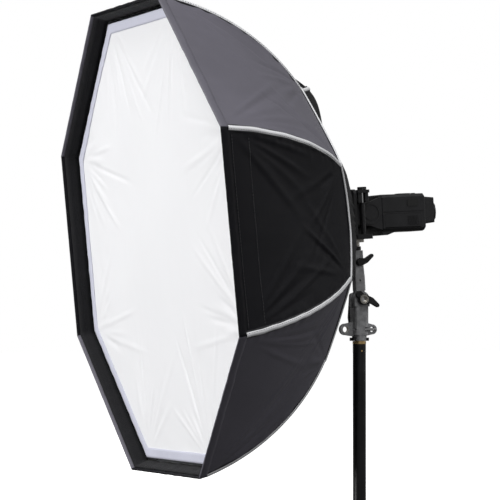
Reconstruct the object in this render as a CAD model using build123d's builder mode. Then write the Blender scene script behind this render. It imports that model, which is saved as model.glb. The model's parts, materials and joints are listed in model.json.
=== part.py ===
"""Octagonal studio softbox on a flash clamp, with its tilting bracket and the top of its light stand.

World frame: millimetres, +Z up, the softbox faces -Y. The origin is the centre of the lower end of the
stand tube. Everything above the tilt pivot is drawn level, with the bracket arm upright, and is turned
nose-down about the pivot by head_pitch when it is saved. The softbox's own axis leans a little more.
"""

import os
from math import cos, hypot, radians, sin

from build123d import *

os.makedirs("parts", exist_ok=True)

# ---------------------------------------------------------------- driving dimensions
# light stand
tube_radius = 11.0
tube_wall = 1.2
tube_length = 285.0
collar_height = 5.0
rivet_radius = 1.5
stud_radius = 8.0
stud_length = 44.0
running_gap = 0.05
side_gap = 0.3

# tilting bracket
socket_foot_z = tube_length + collar_height + side_gap
socket_radius = 12.3
lug_z = 309.5
pivot_z = 360.0
pivot_radius = 4.0
cheek_radius = 13.5
cheek_inner_x = 5.3
cheek_outer_x = 12.5
arm_top_z = 442.0
arm_half_width = 7.0
head_stud_radius = 5.0
head_pitch = 3.0

# flash clamp
base_plate_z = 460.5
plate_half_length = 50.0
post_x = 43.0
post_y = -5.0
jaw_plate_z = 537.5
screw_radius = 2.5

# speedlight
flash_z = 502.5
hinge_y = 12.0
head_half_width = 37.5
head_half_height = 22.0
body_front_y = 33.3
body_length = 81.0
neck_length = 22.0
body_half_width = 37.0
body_half_height = 31.0

# softbox
sides = 8
rim_radius = 415.0
ring_depth = 334.0
ring_outer = 75.0
ring_inner = 52.0
ring_height = 9.0
hub_radius = 56.0
rib_bow = 66.0
rib_radius = 2.5
seam_radius = 234.0
fabric = 1.2
lip_depth = 26.0
rim_centre_y = -378.5
rim_centre_z = 475.9
soft_lean = 2.5

tilt_axis = Axis((0, 0, pivot_z), (1, 0, 0))
half_angle = 180 / sides
flat_ratio = cos(radians(half_angle))

# The softbox plane: origin at the centre of the rim, local Z along the light, local Y up.
lean = radians(soft_lean)
soft = Plane(
    origin=(0, rim_centre_y, rim_centre_z),
    x_dir=(1, 0, 0),
    z_dir=(0, -cos(lean), -sin(lean)),
)


def save(piece, name, above_pivot=True):
    """Writes one piece, turned to the resting pitch if it stands above the tilt pivot."""
    solid = piece.part
    if above_pivot:
        solid = solid.rotate(tilt_axis, head_pitch)
    solid.label = name
    export_step(solid, f"parts/{name}.step")


def soft_plane(angle):
    """Plane through the softbox's axis: local X outwards at that angle, local Y along the light."""
    direction = soft.x_dir * cos(radians(angle)) + soft.y_dir * sin(radians(angle))
    return Plane(origin=soft.origin, x_dir=direction, z_dir=direction.cross(soft.z_dir))


# ---------------------------------------------------------------- light stand top
with BuildPart() as stand_tube:
    with BuildSketch():
        Circle(tube_radius)
        Circle(tube_radius - tube_wall, mode=Mode.SUBTRACT)
    extrude(amount=tube_length)
    rivet_z = tube_length - 11.5
    with Locations(Location((0, 0, rivet_z), (0, 90, 0))):
        Cylinder(rivet_radius, 4 * tube_radius, mode=Mode.SUBTRACT)
save(stand_tube, "stand_tube", above_pivot=False)

with BuildPart() as stand_spigot:
    stem_radius = tube_radius - tube_wall
    with BuildSketch(Plane.XZ):
        with BuildLine():
            Polyline(
                (0, tube_length - 30),
                (stem_radius, tube_length - 30),
                (stem_radius, tube_length),
                (tube_radius + 0.3, tube_length),
                (tube_radius + 0.3, tube_length + collar_height),
                (stud_radius, tube_length + collar_height),
                (stud_radius, 302),
                (6.5, 305),
                (6.5, 314),
                (stud_radius, 317),
                (stud_radius, socket_foot_z + stud_length - 2),
                (stud_radius - 2, socket_foot_z + stud_length),
                (0, socket_foot_z + stud_length),
                close=True,
            )
        make_face()
    revolve(axis=Axis.Z)
    with Locations(Location((0, 0, rivet_z), (0, 90, 0))):
        Cylinder(rivet_radius, 4 * tube_radius, mode=Mode.SUBTRACT)
save(stand_spigot, "stand_spigot", above_pivot=False)

# The rivet's ends lie flush, so that the tube still slides into a stand section.
rivet_half_length = 10.85
with BuildPart() as tube_rivet:
    rivet_line = Plane(origin=(0, 0, rivet_z), x_dir=(0, 1, 0), z_dir=(1, 0, 0))
    with BuildSketch(rivet_line.offset(-rivet_half_length)):
        Circle(rivet_radius)
    extrude(amount=2 * rivet_half_length)
save(tube_rivet, "tube_rivet", above_pivot=False)

with BuildPart() as tube_plug:
    with BuildSketch(Plane.XY.offset(1)):
        Circle(stem_radius)
        Circle(stem_radius - 2.5, mode=Mode.SUBTRACT)
    extrude(amount=18)
    with BuildSketch(Plane.XY.offset(1)):
        Circle(stem_radius)
    extrude(amount=2)
save(tube_plug, "tube_plug", above_pivot=False)

# ---------------------------------------------------------------- swivelling socket of the bracket
front_lug_y = -26.6
rear_lug_y = 22.5
lug_thickness = 7.0
front_hole_radius = 5.9
rear_hole_radius = 4.6
slot_floor_z = pivot_z - 14.5
lock_z = 330.0
cross_pin_radius = 2.4
pin_x = 6.5 + cross_pin_radius + 0.1

with BuildPart() as socket_body:
    with BuildSketch(Plane.XY.offset(socket_foot_z)):
        Circle(socket_radius)
    extrude(amount=20)
    with BuildSketch(Plane.XY.offset(300)):
        RectangleRounded(2 * cheek_outer_x, 27, 7)
    extrude(amount=pivot_z - 10 - 300)
    with BuildSketch(Plane.YZ.offset(-cheek_outer_x)):
        with Locations((0, pivot_z)):
            Circle(cheek_radius)
        with Locations((0, pivot_z - 6)):
            Rectangle(2 * cheek_radius, 12)
    extrude(amount=2 * cheek_outer_x)
    with BuildSketch(Plane.YZ.offset(-lug_thickness / 2)):
        with Locations((front_lug_y, lug_z)):
            Circle(9.6)
        with Locations((rear_lug_y, lug_z)):
            Circle(8.4)
        with BuildLine():
            Polyline(
                (front_lug_y, lug_z + 9.6),
                (-10, lug_z + 13),
                (10, lug_z + 12),
                (rear_lug_y, lug_z + 8.4),
                (rear_lug_y, lug_z - 8.4),
                (10, lug_z - 11),
                (-10, lug_z - 12),
                (front_lug_y, lug_z - 9.6),
                close=True,
            )
        make_face()
    extrude(amount=lug_thickness)
    # stud bore, hinge slot, pivot hole, lug holes and the two lock-screw holes
    with BuildSketch(Plane.XY.offset(socket_foot_z)):
        Circle(stud_radius + running_gap)
    extrude(amount=stud_length + 0.7, mode=Mode.SUBTRACT)
    with Locations((0, 0, slot_floor_z + 25)):
        Box(2 * cheek_inner_x, 60, 50, mode=Mode.SUBTRACT)
    with Locations(Location((0, 0, pivot_z), (0, 90, 0))):
        Cylinder(pivot_radius + running_gap, 60, mode=Mode.SUBTRACT)
    with Locations(Location((0, front_lug_y, lug_z), (0, 90, 0))):
        Cylinder(front_hole_radius, 30, mode=Mode.SUBTRACT)
    with Locations(Location((0, rear_lug_y, lug_z), (0, 90, 0))):
        Cylinder(rear_hole_radius, 30, mode=Mode.SUBTRACT)
    with Locations(Location((pin_x, 0, lug_z), (90, 0, 0))):
        Cylinder(cross_pin_radius, 60, mode=Mode.SUBTRACT)
    with Locations((cheek_outer_x, 10, lug_z)):
        Box(2 * (cheek_outer_x - pin_x) + 2, 11, 7.2, mode=Mode.SUBTRACT)
    with BuildSketch(Plane.YZ.offset(-40)):
        with Locations((0, lock_z)):
            Circle(3 + running_gap)
    extrude(amount=40, mode=Mode.SUBTRACT)
save(socket_body, "socket_body", above_pivot=False)

# Black guard clipped round the back of the socket's foot, open towards +X.
with BuildPart() as socket_guard:
    with BuildSketch(Plane.XY.offset(socket_foot_z)):
        Circle(16.3)
        Circle(socket_radius, mode=Mode.SUBTRACT)
        with Locations((20, 0)):
            Rectangle(24, 40, mode=Mode.SUBTRACT)
    extrude(amount=5.5)
save(socket_guard, "socket_guard", above_pivot=False)

with BuildPart() as lug_eyelet:
    with BuildSketch(Plane.YZ.offset(-lug_thickness / 2 - 0.8)):
        with Locations((front_lug_y, lug_z)):
            Circle(front_hole_radius + 1.4)
            Circle(front_hole_radius - 0.8, mode=Mode.SUBTRACT)
    extrude(amount=0.8)
    with BuildSketch(Plane.YZ.offset(-lug_thickness / 2)):
        with Locations((front_lug_y, lug_z)):
            Circle(front_hole_radius)
            Circle(front_hole_radius - 0.8, mode=Mode.SUBTRACT)
    extrude(amount=lug_thickness)
save(lug_eyelet, "lug_eyelet", above_pivot=False)

# Chrome cross pin: it runs beside the stud, through its groove, and keeps the socket on it.
with BuildPart() as socket_pin:
    with BuildSketch(Plane.XZ.offset(6)):
        with Locations((pin_x, lug_z)):
            Circle(cross_pin_radius)
    extrude(amount=-29)
    with BuildSketch(Plane.XZ.offset(-23)):
        with Locations((pin_x, lug_z)):
            Circle(3.4)
    extrude(amount=-3.5)
save(socket_pin, "socket_pin", above_pivot=False)

# Black lock knob on the far side, with its screw in the socket wall.
with BuildPart() as stand_lock_knob:
    with BuildSketch(Plane.YZ.offset(-cheek_outer_x + 0.2 - 4)):
        with Locations((0, lock_z)):
            Circle(3.0)
    extrude(amount=7.8)
    with BuildSketch(Plane.YZ.offset(-cheek_outer_x - side_gap)):
        with Locations((0, lock_z)):
            Circle(8)
    extrude(amount=-9)
    with BuildSketch(Plane.YZ.offset(-cheek_outer_x - 9.3)):
        with Locations((0, lock_z)):
            Circle(9)
        with Locations((-1.5, lock_z + 36)):
            Circle(5)
        with Locations((-2, lock_z - 10)):
            Circle(5.5)
        make_hull()
    extrude(amount=-8)
    fillet(stand_lock_knob.faces().sort_by(Axis.X)[0].edges(), 2)
save(stand_lock_knob, "stand_lock_knob", above_pivot=False)

with BuildPart() as tilt_bolt:
    with BuildSketch(Plane.YZ.offset(-cheek_outer_x)):
        with Locations((0, pivot_z)):
            Circle(pivot_radius)
    extrude(amount=2 * cheek_outer_x + 3)
    with BuildSketch(Plane.YZ.offset(-cheek_outer_x)):
        with Locations((0, pivot_z)):
            RegularPolygon(7.5, 6)
    extrude(amount=-5.3)
save(tilt_bolt, "tilt_bolt", above_pivot=False)


# ---------------------------------------------------------------- clamp levers
def lever_blade(hub_x, hub_z, hub_radius, mid, tip, thickness):
    """A moulded lever: a round hub, a waist and a rounded tip, lying in a plane square to X."""
    with BuildPart() as blade:
        with BuildSketch(Plane.YZ.offset(hub_x)):
            with Locations((0, hub_z)):
                Circle(hub_radius)
            with Locations((mid[0], hub_z + mid[1])):
                Circle(mid[2])
            make_hull()
        extrude(amount=thickness)
        with BuildSketch(Plane.YZ.offset(hub_x + 2)):
            with Locations((mid[0], hub_z + mid[1])):
                Circle(mid[2])
            with Locations((tip[0], hub_z + tip[1])):
                Circle(tip[2])
            make_hull()
        extrude(amount=thickness - 2)
        fillet(blade.faces().sort_by(Axis.X)[-1].edges(), 1.2)
    return blade.part


lever_x = cheek_outer_x + side_gap
with BuildPart() as tilt_lever:
    add(lever_blade(lever_x, pivot_z, 9.0, (14, -2, 5.2), (25, -10, 3.4), 8.0))
    with BuildSketch(Plane.YZ.offset(lever_x)):
        with Locations((0, pivot_z + 2), (-7.5, pivot_z + 8.5)):
            Circle(5.5)
        make_hull()
    extrude(amount=6.5)
    with Locations(Location((lever_x, 0, pivot_z), (0, 90, 0))):
        Cylinder(6.6, 60, mode=Mode.SUBTRACT)
save(tilt_lever, "tilt_lever", above_pivot=False)

with BuildPart() as tilt_lever_nut:
    with BuildSketch(Plane.YZ.offset(lever_x)):
        with Locations((0, pivot_z)):
            Circle(6.6)
            Circle(pivot_radius + running_gap, mode=Mode.SUBTRACT)
    extrude(amount=6.5)
    with BuildSketch(Plane.YZ.offset(lever_x + 6.5)):
        with Locations((0, pivot_z)):
            Circle(6.5)
            Circle(5.2, mode=Mode.SUBTRACT)
    extrude(amount=1.6)
    with BuildSketch(Plane.YZ.offset(lever_x + 8.1)):
        with Locations((0, pivot_z)):
            Circle(7.8)
            Circle(5.2, mode=Mode.SUBTRACT)
    extrude(amount=1.0)
save(tilt_lever_nut, "tilt_lever_nut", above_pivot=False)

# ---------------------------------------------------------------- tilting arm
stud_bore_depth = 28.0
arm_lever_z = 422.5
with BuildPart() as tilt_arm:
    with BuildSketch(Plane.YZ.offset(-cheek_inner_x + side_gap)):
        with Locations((0, pivot_z)):
            Circle(12.5)
        with Locations((0, pivot_z + 10)):
            Rectangle(17, 20)
    extrude(amount=2 * (cheek_inner_x - side_gap))
    with BuildSketch(Plane.YZ.offset(-arm_half_width)):
        with BuildLine():
            Polyline(
                (-9.0, pivot_z + 14.4),
                (10.2, pivot_z + 14.4),
                (10.0, 398),
                (8.8, 414),
                (8.6, arm_top_z),
                (-7.6, arm_top_z),
                (-7.8, 414),
                (-9.0, 398),
                close=True,
            )
        make_face()
    extrude(amount=2 * arm_half_width)
    upright = tilt_arm.edges().filter_by(lambda e: e.length > 10 and abs(e.center().X) > 6.9)
    fillet(upright.filter_by(lambda e: e.center().Z > 380 and abs(e.center().Y) > 6), 2.6)
    with BuildSketch(Plane.XY.offset(arm_top_z)):
        Circle(head_stud_radius + running_gap)
    extrude(amount=-stud_bore_depth, mode=Mode.SUBTRACT)
    with Locations(Location((0, 0, pivot_z), (0, 90, 0))):
        Cylinder(pivot_radius + running_gap, 60, mode=Mode.SUBTRACT)
    with BuildSketch(Plane.YZ):
        with Locations((0, arm_lever_z)):
            Circle(2.5 + running_gap)
        with Locations((0.5, 392)):
            Circle(1.5)
    extrude(amount=20, mode=Mode.SUBTRACT)
save(tilt_arm, "tilt_arm")

with BuildPart() as arm_lever:
    add(lever_blade(arm_half_width + side_gap, arm_lever_z, 6.5, (10, 2, 4.4), (21, 10, 3.0), 8.0))
    with BuildSketch(Plane.YZ.offset(head_stud_radius + 0.6)):
        with Locations((0, arm_lever_z)):
            Circle(2.5)
    extrude(amount=4)
save(arm_lever, "arm_lever")

# ---------------------------------------------------------------- flash clamp
with BuildPart() as clamp_stud:
    with BuildSketch(Plane.XZ):
        with BuildLine():
            Polyline(
                (0, arm_top_z - stud_bore_depth + 1),
                (4, arm_top_z - stud_bore_depth + 1),
                (5, arm_top_z - stud_bore_depth + 2),
                (5, base_plate_z - 5),
                (0, base_plate_z - 5),
                close=True,
            )
        make_face()
    revolve(axis=Axis.Z)
    with BuildSketch(Plane.XY.offset(base_plate_z - 5)):
        with Locations((0, -5)):
            RectangleRounded(40, 22, 3)
    extrude(amount=5)
save(clamp_stud, "clamp_stud")

with BuildPart() as stud_nut:
    with BuildSketch(Plane.XY.offset(arm_top_z + side_gap)):
        RegularPolygon(7, 12)
        Circle(head_stud_radius, mode=Mode.SUBTRACT)
    extrude(amount=6.5)
save(stud_nut, "stud_nut")

# The frame's front flange stands on the base plate and carries the speed ring.
flange_y = -26.0
flange_thickness = 5.0
flange_top_z = 543.5
window_width = 82.0
window_height = 60.0
sleeve_top_z = 521.0
sleeve_radius = 4.2
plate_depth = 35.0
plate_thickness = 8.0
block_top_z = base_plate_z + 16
plate_y = flange_y + plate_depth / 2
with BuildPart() as clamp_frame:
    with BuildSketch(Plane.XY.offset(base_plate_z)):
        with Locations((0, plate_y)):
            RectangleRounded(2 * plate_half_length, plate_depth, 3)
    extrude(amount=plate_thickness)
    with BuildSketch(Plane.XZ.offset(-flange_y)):
        with Locations((0, (base_plate_z + flange_top_z) / 2)):
            RectangleRounded(2 * plate_half_length + 12, flange_top_z - base_plate_z, 8)
        with Locations((0, flash_z)):
            Rectangle(window_width, window_height, mode=Mode.SUBTRACT)
    extrude(amount=-flange_thickness)
    with BuildSketch(Plane.XY.offset(base_plate_z + plate_thickness)):
        with Locations((post_x, post_y), (-post_x, post_y)):
            Circle(sleeve_radius)
    extrude(amount=sleeve_top_z - base_plate_z - plate_thickness)
    with BuildSketch(Plane.XY.offset(base_plate_z + plate_thickness)):
        with Locations((0, -4)):
            Rectangle(50, 26)
    extrude(amount=block_top_z - base_plate_z - plate_thickness)
    with BuildSketch(Plane.XY.offset(block_top_z - 2)):
        with Locations((post_x, post_y), (-post_x, post_y)):
            Circle(screw_radius + running_gap)
    extrude(amount=60, mode=Mode.SUBTRACT)
save(clamp_frame, "clamp_frame")

pad_height = 2.0
with BuildPart() as base_pad:
    with BuildSketch(Plane.XY.offset(block_top_z)):
        with Locations((0, -4)):
            RectangleRounded(48, 24, 2)
    extrude(amount=flash_z - head_half_height - block_top_z)
save(base_pad, "base_pad")

jaw_pad_z = flash_z + head_half_height + side_gap
jaw_top_z = jaw_plate_z + 5
leg_width = 10.0
with BuildPart() as clamp_jaw:
    with BuildSketch(Plane.XY.offset(jaw_plate_z)):
        with Locations((0, post_y)):
            RectangleRounded(2 * plate_half_length, 24, 4)
    extrude(amount=jaw_top_z - jaw_plate_z)
    with BuildSketch(Plane.XY.offset(jaw_pad_z + pad_height)):
        with Locations((0, post_y)):
            Rectangle(72, 20)
    extrude(amount=jaw_plate_z - jaw_pad_z - pad_height)
    with BuildSketch(Plane.XY.offset(sleeve_top_z + side_gap)):
        with Locations((post_x, post_y), (-post_x, post_y)):
            RectangleRounded(leg_width, 20, 2)
        with Locations((post_x + leg_width / 4, post_y), (-post_x - leg_width / 4, post_y)):
            Rectangle(leg_width, 2 * screw_radius + 2, mode=Mode.SUBTRACT)
    extrude(amount=jaw_plate_z - sleeve_top_z - side_gap)
    with BuildSketch(Plane.XY.offset(sleeve_top_z)):
        with Locations((post_x, post_y), (-post_x, post_y)):
            Circle(screw_radius + running_gap)
    extrude(amount=40, mode=Mode.SUBTRACT)
save(clamp_jaw, "clamp_jaw")

with BuildPart() as jaw_pad:
    with BuildSketch(Plane.XY.offset(jaw_pad_z)):
        with Locations((0, post_y)):
            RectangleRounded(70, 18, 2)
    extrude(amount=pad_height)
save(jaw_pad, "jaw_pad")

for label, side in (("near", 1), ("far", -1)):
    with BuildPart() as jaw_screw:
        with BuildSketch(Plane.XY.offset(block_top_z)):
            with Locations((side * post_x, post_y)):
                Circle(screw_radius)
        extrude(amount=jaw_top_z + side_gap - block_top_z)
    save(jaw_screw, f"jaw_screw_{label}")

    with BuildPart() as jaw_knob:
        with BuildSketch(Plane.XY.offset(jaw_top_z + side_gap)):
            with Locations((side * post_x, post_y)):
                Circle(7.6)
        extrude(amount=4.5)
        fillet(jaw_knob.faces().sort_by(Axis.Z)[-1].edges(), 1)
        with BuildSketch(Plane.XY.offset(jaw_plate_z)):
            with Locations((side * post_x, post_y)):
                with PolarLocations(8.1, 14):
                    Circle(0.9)
        extrude(amount=20, mode=Mode.SUBTRACT)
    save(jaw_knob, f"jaw_knob_{label}")

# ---------------------------------------------------------------- speedlight
# Drawn about its long axis: the head looks along -Y, the body hangs out along +Y, its back faces up.
flash_axis = Plane(origin=(0, 0, flash_z), x_dir=(1, 0, 0), z_dir=(0, 1, 0))
neck_half_width = 31.5
disc_radius = 20.0
head_front_y = -62.0
bridge_y = hinge_y + 17.6
cheek_rise = 28.0
cheek_thickness = 4.6
cheek_face_x = neck_half_width + side_gap + cheek_thickness
flash_hinge_radius = 5.0
swivel_radius = 14.0

with BuildPart() as flash_head:
    with BuildSketch(flash_axis.offset(head_front_y)):
        RectangleRounded(2 * head_half_width, 2 * head_half_height, 5)
    extrude(amount=-8 - head_front_y)
    with BuildSketch(Plane.YZ.offset(-neck_half_width)):
        with Locations((hinge_y, flash_z)):
            Circle(17)
        with Locations((hinge_y / 2 - 5, flash_z)):
            Rectangle(hinge_y + 10, 34)
    extrude(amount=2 * neck_half_width)
    with BuildSketch(flash_axis.offset(head_front_y)):
        RectangleRounded(2 * head_half_width - 6, 2 * head_half_height - 6, 3)
    extrude(amount=5, mode=Mode.SUBTRACT)
    with Locations(Location((0, hinge_y, flash_z), (0, 90, 0))):
        Cylinder(flash_hinge_radius + running_gap, 80, mode=Mode.SUBTRACT)
save(flash_head, "flash_head")

with BuildPart() as flash_lens:
    with BuildSketch(flash_axis.offset(head_front_y - 0.6)):
        RectangleRounded(2 * head_half_width - 6, 2 * head_half_height - 6, 3)
    extrude(amount=3)
save(flash_lens, "flash_lens")

with BuildPart() as flash_yoke:
    for side in (1, -1):
        with BuildSketch(Plane.YZ.offset(side * (neck_half_width + side_gap))):
            with Locations((hinge_y, flash_z)):
                Circle(disc_radius)
            with BuildLine():
                Polyline(
                    (hinge_y, flash_z + disc_radius),
                    (body_front_y - side_gap, flash_z + cheek_rise),
                    (body_front_y - side_gap, flash_z - cheek_rise),
                    (hinge_y, flash_z - disc_radius),
                    close=True,
                )
            make_face()
        extrude(amount=side * cheek_thickness)
        with BuildSketch(Plane.YZ.offset(side * cheek_face_x)):
            with Locations((hinge_y, flash_z)):
                Circle(disc_radius - 2)
                Circle(disc_radius - 5, mode=Mode.SUBTRACT)
                Circle(disc_radius - 9)
        extrude(amount=side * 0.9)
        with BuildSketch(Plane.YZ.offset(side * 26)):
            with Locations((hinge_y, flash_z)):
                Circle(flash_hinge_radius)
        extrude(amount=side * 8)
    with BuildSketch(flash_axis.offset(bridge_y)):
        RectangleRounded(2 * cheek_face_x, 2 * cheek_rise, 6)
    extrude(amount=body_front_y - side_gap - bridge_y)
    with BuildSketch(flash_axis.offset(body_front_y - 1)):
        Circle(swivel_radius)
    extrude(amount=7)
save(flash_yoke, "flash_yoke")

body_end_y = body_front_y + body_length
foot_y = body_end_y + neck_length
foot_hub_radius = 8.0
foot_stem_radius = 5.0
edge_bevel = 5.0
door_y, door_z = body_front_y + 38, flash_z - 13.5
door_length, door_height, door_thickness = 66.0, 23.4, 2.7
control_y = body_front_y + 56
control_z = flash_z + body_half_height
small_buttons = (
    ("mode_button", -24, -8),
    ("zoom_button", 24, -8),
    ("light_button", -24, 8),
    ("test_button", 24, 8),
)
screen_y = body_front_y + 22
window_y = body_front_y + 56
with BuildPart() as flash_body:
    with BuildSketch(flash_axis.offset(body_front_y)) as body_section:
        Rectangle(2 * body_half_width, 2 * body_half_height)
        chamfer(body_section.vertices(), edge_bevel)
    extrude(amount=body_length)
    chamfer(flash_body.faces().sort_by(Axis.Y)[-1].edges(), 3)
    chamfer(flash_body.faces().sort_by(Axis.Y)[0].edges(), 1.5)
    # the chin under the front end, and the neck that the foot turns on
    with BuildSketch(Plane.YZ.offset(-body_half_width + edge_bevel)):
        with BuildLine():
            Polyline(
                (body_front_y + 1, flash_z - body_half_height + 2),
                (body_front_y + 1, flash_z - body_half_height - 5),
                (body_front_y + 10, flash_z - body_half_height - 6),
                (body_front_y + 28, flash_z - body_half_height),
                (body_front_y + 28, flash_z - body_half_height + 2),
                close=True,
            )
        make_face()
    extrude(amount=2 * (body_half_width - edge_bevel))
    with BuildSketch(flash_axis.offset(body_end_y)):
        with Locations((0, -2.5)):
            RectangleRounded(2 * 25, 2 * 23.5, 4)
    extrude(amount=neck_length, taper=6)
    with BuildSketch(flash_axis.offset(body_front_y)):
        Circle(swivel_radius + side_gap)
    extrude(amount=6.5, mode=Mode.SUBTRACT)
    # a groove along each side
    for side in (1, -1):
        with BuildSketch(Plane.YZ.offset(side * body_half_width)):
            with Locations((body_front_y + body_length / 2, flash_z + 1.2)):
                Rectangle(body_length, 1.4)
        extrude(amount=-side * 0.9, mode=Mode.SUBTRACT)
    # recesses for the screen, the battery door and the front window, and sockets for the controls
    with BuildSketch(Plane.XY.offset(control_z)):
        with Locations((0, screen_y)):
            Rectangle(50, 26)
    extrude(amount=-2, mode=Mode.SUBTRACT)
    with BuildSketch(Plane.XY.offset(flash_z - body_half_height)):
        with Locations((0, window_y)):
            Rectangle(54, 46)
    extrude(amount=1.5, mode=Mode.SUBTRACT)
    with BuildSketch(Plane.YZ.offset(body_half_width)):
        with Locations((door_y, door_z)):
            Rectangle(door_length + 0.4, door_height + 0.6)
    extrude(amount=-door_thickness - side_gap, mode=Mode.SUBTRACT)
    with BuildSketch(Plane.XY.offset(control_z)):
        with Locations((0, control_y)):
            Circle(13.3)
        with Locations([(x, control_y + y) for _, x, y in small_buttons]):
            Circle(4.2)
    extrude(amount=-4, mode=Mode.SUBTRACT)
    with BuildSketch(flash_axis.offset(foot_y)):
        Circle(foot_hub_radius + running_gap)
    extrude(amount=-10, mode=Mode.SUBTRACT)
save(flash_body, "flash_body")

with BuildPart() as flash_screen:
    with BuildSketch(Plane.XY.offset(control_z - 2)):
        with Locations((0, screen_y)):
            Rectangle(50, 26)
    extrude(amount=1.6)
save(flash_screen, "flash_screen")

with BuildPart() as front_window:
    with BuildSketch(Plane.XY.offset(flash_z - body_half_height - 1.2)):
        with Locations((0, window_y)):
            Rectangle(54, 46)
    extrude(amount=2.7)
    chamfer(front_window.faces().sort_by(Axis.Z)[0].edges(), 1)
save(front_window, "front_window")

# The door turns about the round barrel along its lower edge.
barrel_radius = door_thickness / 2
with BuildPart() as battery_door:
    with BuildSketch(Plane.YZ.offset(body_half_width - door_thickness)):
        with Locations((door_y, door_z + barrel_radius / 2)):
            Rectangle(door_length, door_height - barrel_radius)
    extrude(amount=door_thickness)
    with BuildSketch(flash_axis.offset(door_y - door_length / 2)):
        with Locations((body_half_width - barrel_radius, door_height / 2 - barrel_radius + flash_z - door_z)):
            Circle(barrel_radius)
    extrude(amount=door_length)
    with BuildSketch(Plane.YZ.offset(body_half_width)):
        with Locations([(door_y + 10 + 2.6 * n, door_z) for n in range(8)]):
            Rectangle(1.3, 15)
    extrude(amount=0.7)
save(battery_door, "battery_door")

with BuildPart() as port_cover:
    with BuildSketch(Plane.YZ.offset(body_half_width)):
        with Locations((door_y + 19, flash_z + 16)):
            RectangleRounded(20, 12, 2)
    extrude(amount=0.9)
save(port_cover, "port_cover")

with BuildPart() as control_dial:
    with BuildSketch(Plane.XY.offset(control_z - 3.6)):
        with Locations((0, control_y)):
            Circle(13)
            Circle(6.3, mode=Mode.SUBTRACT)
    extrude(amount=5.2)
    with BuildSketch(Plane.XY.offset(control_z)):
        with Locations((0, control_y)):
            with PolarLocations(13.2, 24):
                Circle(0.7)
    extrude(amount=3, mode=Mode.SUBTRACT)
save(control_dial, "control_dial")

with BuildPart() as set_button:
    with BuildSketch(Plane.XY.offset(control_z - 2.6)):
        with Locations((0, control_y)):
            Circle(6.0)
    extrude(amount=3.8)
    fillet(set_button.faces().sort_by(Axis.Z)[-1].edges(), 0.6)
save(set_button, "set_button")

for name, x, y in small_buttons:
    with BuildPart() as button:
        with BuildSketch(Plane.XY.offset(control_z - 2.8)):
            with Locations((x, control_y + y)):
                Circle(3.9)
        extrude(amount=3.9)
        fillet(button.faces().sort_by(Axis.Z)[-1].edges(), 0.5)
    save(button, name)

with BuildPart() as foot_wheel:
    with BuildSketch(flash_axis.offset(foot_y + side_gap)):
        Circle(18)
        with PolarLocations(18.4, 36):
            Circle(0.8, mode=Mode.SUBTRACT)
        Circle(foot_stem_radius + running_gap, mode=Mode.SUBTRACT)
    extrude(amount=5.5)
save(foot_wheel, "foot_wheel")

with BuildPart() as flash_foot:
    with BuildSketch(flash_axis.offset(foot_y - 8)):
        Circle(foot_hub_radius)
    extrude(amount=8)
    with BuildSketch(flash_axis.offset(foot_y)):
        Circle(foot_stem_radius)
    extrude(amount=7)
    with BuildSketch(flash_axis.offset(foot_y + 6.1)):
        Rectangle(18.6, 26)
    extrude(amount=2)
    with BuildSketch(flash_axis.offset(foot_y + 8.1)):
        Rectangle(12.5, 22)
    extrude(amount=2.4)
    with BuildSketch(flash_axis.offset(foot_y + 10.5)):
        with Locations((0, 0), (-4, 5), (4, 5), (-4, -5), (4, -5)):
            Circle(1.0)
    extrude(amount=0.9)
save(flash_foot, "flash_foot")

# ---------------------------------------------------------------- speed ring and ribs
# Softbox profiles are drawn in (distance from the axis, distance in front of the rim).
pivot_ring = 67.0
pivot_w = -(ring_depth + 1)
slot_width = 8.0
pin_radius = 2.0
mount_plane = Plane(origin=(0, flange_y, 0), z_dir=(0, -1, 0))

with BuildPart() as speed_ring:
    with BuildSketch(soft.offset(-ring_depth - ring_height / 2)):
        Circle(ring_outer)
        Circle(ring_inner, mode=Mode.SUBTRACT)
    extrude(amount=ring_height)
    with BuildSketch(soft.offset(-ring_depth)):
        Circle(hub_radius)
        Circle(ring_inner, mode=Mode.SUBTRACT)
    extrude(amount=-30)
    split(bisect_by=mount_plane, keep=Keep.TOP)
    for k in range(sides):
        rib_plane = soft_plane(half_angle + k * 360 / sides)
        with BuildSketch(rib_plane.offset(-slot_width / 2)):
            with Locations((pivot_ring + 6.5, pivot_w)):
                Rectangle(25, 40)
        extrude(amount=slot_width, mode=Mode.SUBTRACT)
        with BuildSketch(rib_plane.offset(-8.5)):
            with Locations((pivot_ring, pivot_w)):
                Circle(pin_radius)
        extrude(amount=17, mode=Mode.SUBTRACT)
save(speed_ring, "speed_ring")

with BuildPart() as rib_pins:
    for k in range(sides):
        with BuildSketch(soft_plane(half_angle + k * 360 / sides).offset(-8.5)):
            with Locations((pivot_ring, pivot_w)):
                Circle(pin_radius)
        extrude(amount=17)
save(rib_pins, "rib_pins")

# Bowed profile of the cover: from the rim, out along the bow, in to the ring.
cover_ring_radius = 82.0
chord = hypot(rim_radius - cover_ring_radius, ring_depth)
bow_out = rib_bow * ring_depth / chord
bow_back = rib_bow * (rim_radius - cover_ring_radius) / chord
bow_middle = ((rim_radius + cover_ring_radius) / 2 + bow_out, -ring_depth / 2 - bow_back)


def bow_centre(a, b, c):
    """Centre and radius of the circle through three points."""
    d = 2 * (a[0] * (b[1] - c[1]) + b[0] * (c[1] - a[1]) + c[0] * (a[1] - b[1]))
    a2, b2, c2 = (p[0] ** 2 + p[1] ** 2 for p in (a, b, c))
    x = (a2 * (b[1] - c[1]) + b2 * (c[1] - a[1]) + c2 * (a[1] - b[1])) / d
    y = (a2 * (c[0] - b[0]) + b2 * (a[0] - c[0]) + c2 * (b[0] - a[0])) / d
    return x, y, hypot(a[0] - x, a[1] - y)


bow_x, bow_w, bow_radius = bow_centre(
    (rim_radius, 0), bow_middle, (cover_ring_radius, -ring_depth)
)


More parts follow.
